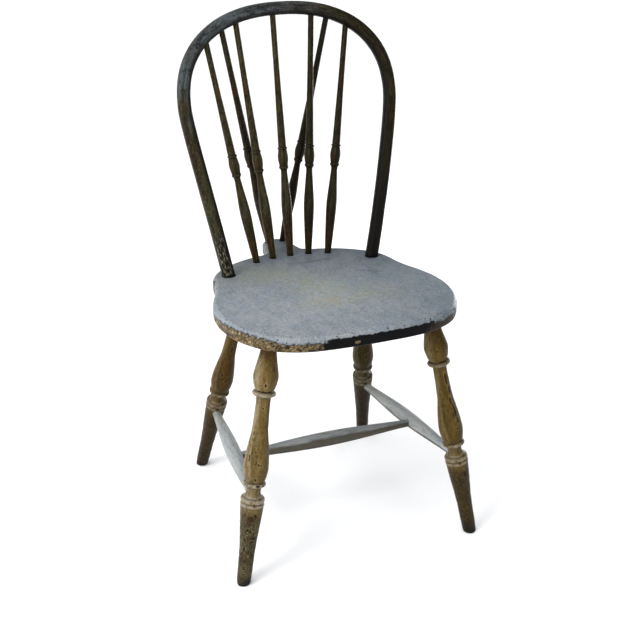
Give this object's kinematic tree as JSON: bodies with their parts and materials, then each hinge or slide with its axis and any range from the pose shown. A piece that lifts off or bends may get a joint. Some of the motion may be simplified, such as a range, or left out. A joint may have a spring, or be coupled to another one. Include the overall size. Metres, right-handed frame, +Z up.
{
  "type": "brace-back windsor side chair",
  "caption": "Armless wooden chair to sit on, with a saddled plank seat, a bent bow back braced by turned spindles, and splayed turned legs tied by stretchers.",
  "frame": {"origin": "on the floor, at the middle of the chair's overall box", "axes": "+Z up; +Y from the seat's front to its back; +X to the right of someone who faces the chair's front"},
  "size_m": [0.4454, 0.488, 0.887],
  "materials": {
    "seat_paint": "worn grey-blue paint on wood, peeled to dark wood along the front edge",
    "bow_wood": "dark olive-brown wood with green and rust-brown patches of old paint",
    "spindle_wood": "dark olive-brown wood with green-grey and rust-brown patches of old paint",
    "leg_paint": "ochre-cream paint, streaked, chipped and crackled, dark and bare at the feet",
    "stretcher_paint": "pale grey-blue paint, worn to brown wood underneath"
  },
  "bodies": {
    "root": {"seat": "seat_paint", "bow": "bow_wood", "spindle_1": "spindle_wood", "spindle_2": "spindle_wood", "spindle_3": "spindle_wood", "spindle_4": "spindle_wood", "spindle_5": "spindle_wood", "brace_left": "spindle_wood", "brace_right": "spindle_wood", "leg_front_left": "leg_paint", "leg_front_right": "leg_paint", "leg_back_left": "leg_paint", "leg_back_right": "leg_paint", "stretcher_left": "stretcher_paint", "stretcher_right": "stretcher_paint", "stretcher_cross": "stretcher_paint"}
  },
  "joints": []
}
